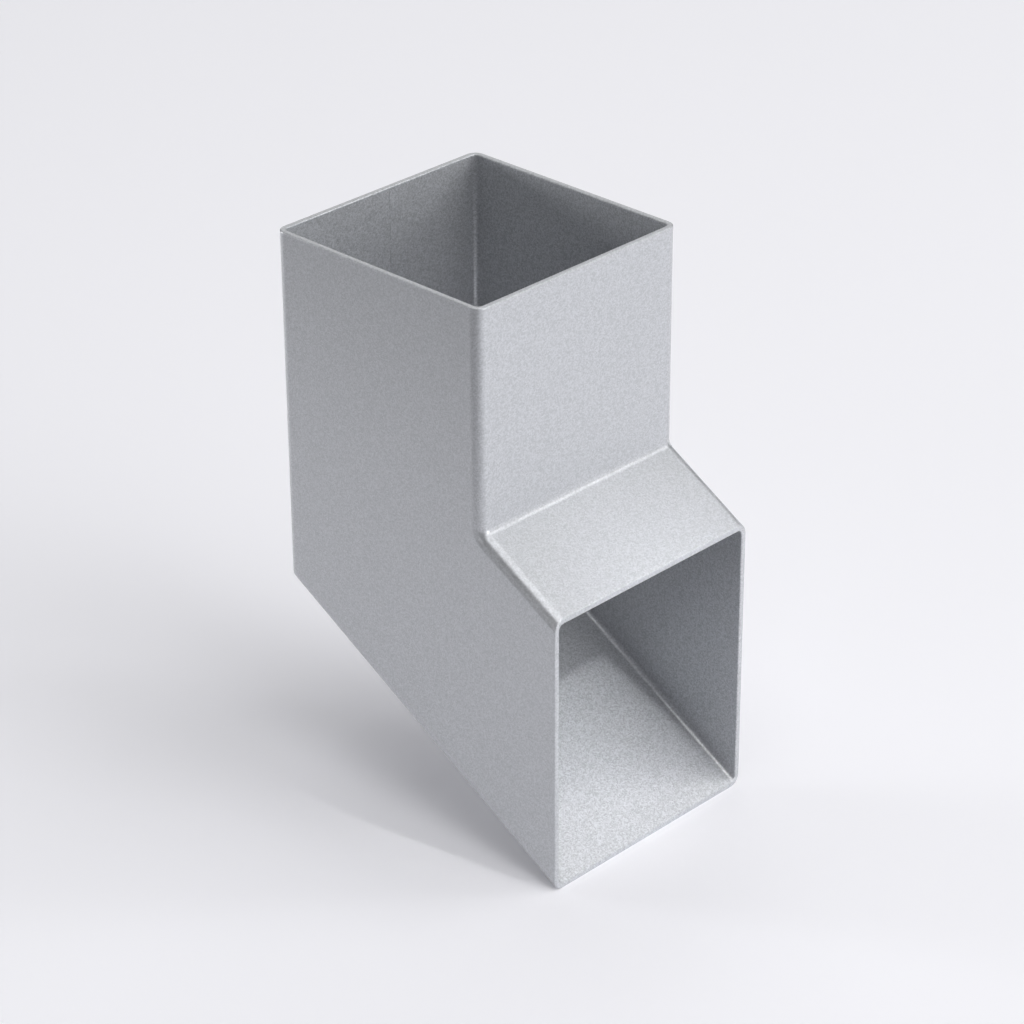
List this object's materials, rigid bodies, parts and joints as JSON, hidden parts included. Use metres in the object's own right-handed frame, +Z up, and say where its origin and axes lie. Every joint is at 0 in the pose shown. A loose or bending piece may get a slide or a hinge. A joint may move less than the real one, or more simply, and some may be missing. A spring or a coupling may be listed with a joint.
{
  "type": "downpipe shoe",
  "caption": "Square hollow downpipe shoe: an upright socket bends over a mitre into a sloping outlet whose mouth is cut upright, with rounded long corners and open ends.",
  "frame": {"origin": "centre of the socket's open end, on the downpipe's axis and level with the rim", "axes": "+Z up the downpipe, +Y towards the wall of the building, -Y out of the outlet"},
  "size_m": [0.076, 0.1027, 0.1644],
  "materials": {
    "powder_coat": "satin metallic silver powder coat with a fine flake grain"
  },
  "bodies": {
    "root": {"shoe_body": "powder_coat"}
  },
  "joints": []
}
